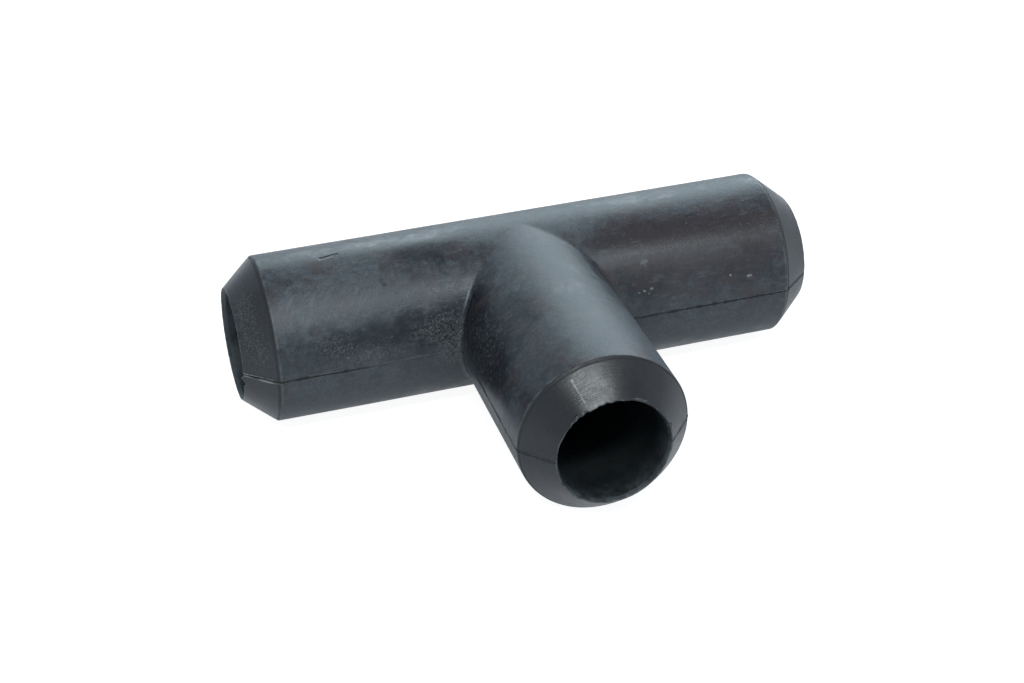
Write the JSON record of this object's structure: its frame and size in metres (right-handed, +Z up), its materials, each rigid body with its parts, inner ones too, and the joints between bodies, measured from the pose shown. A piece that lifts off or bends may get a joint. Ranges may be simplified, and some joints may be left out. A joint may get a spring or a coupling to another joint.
{
  "type": "rubber tee connector",
  "caption": "Soft black rubber tee that joins plain pipes: three equal round legs with one plain bore, coned outside and bevelled inside at each mouth.",
  "frame": {"origin": "where the axis of the straight run crosses the axis of the branch, in the plane where the mould halves met", "axes": "+X along the run towards one mouth, -Y along the branch towards its mouth, +Z up from the surface that the tee lies on"},
  "size_m": [0.108, 0.0695, 0.0304],
  "materials": {
    "black_rubber": "matte moulded rubber with a pale grey bloom and shop dust"
  },
  "bodies": {
    "root": {"tee_body": "black_rubber"}
  },
  "joints": []
}
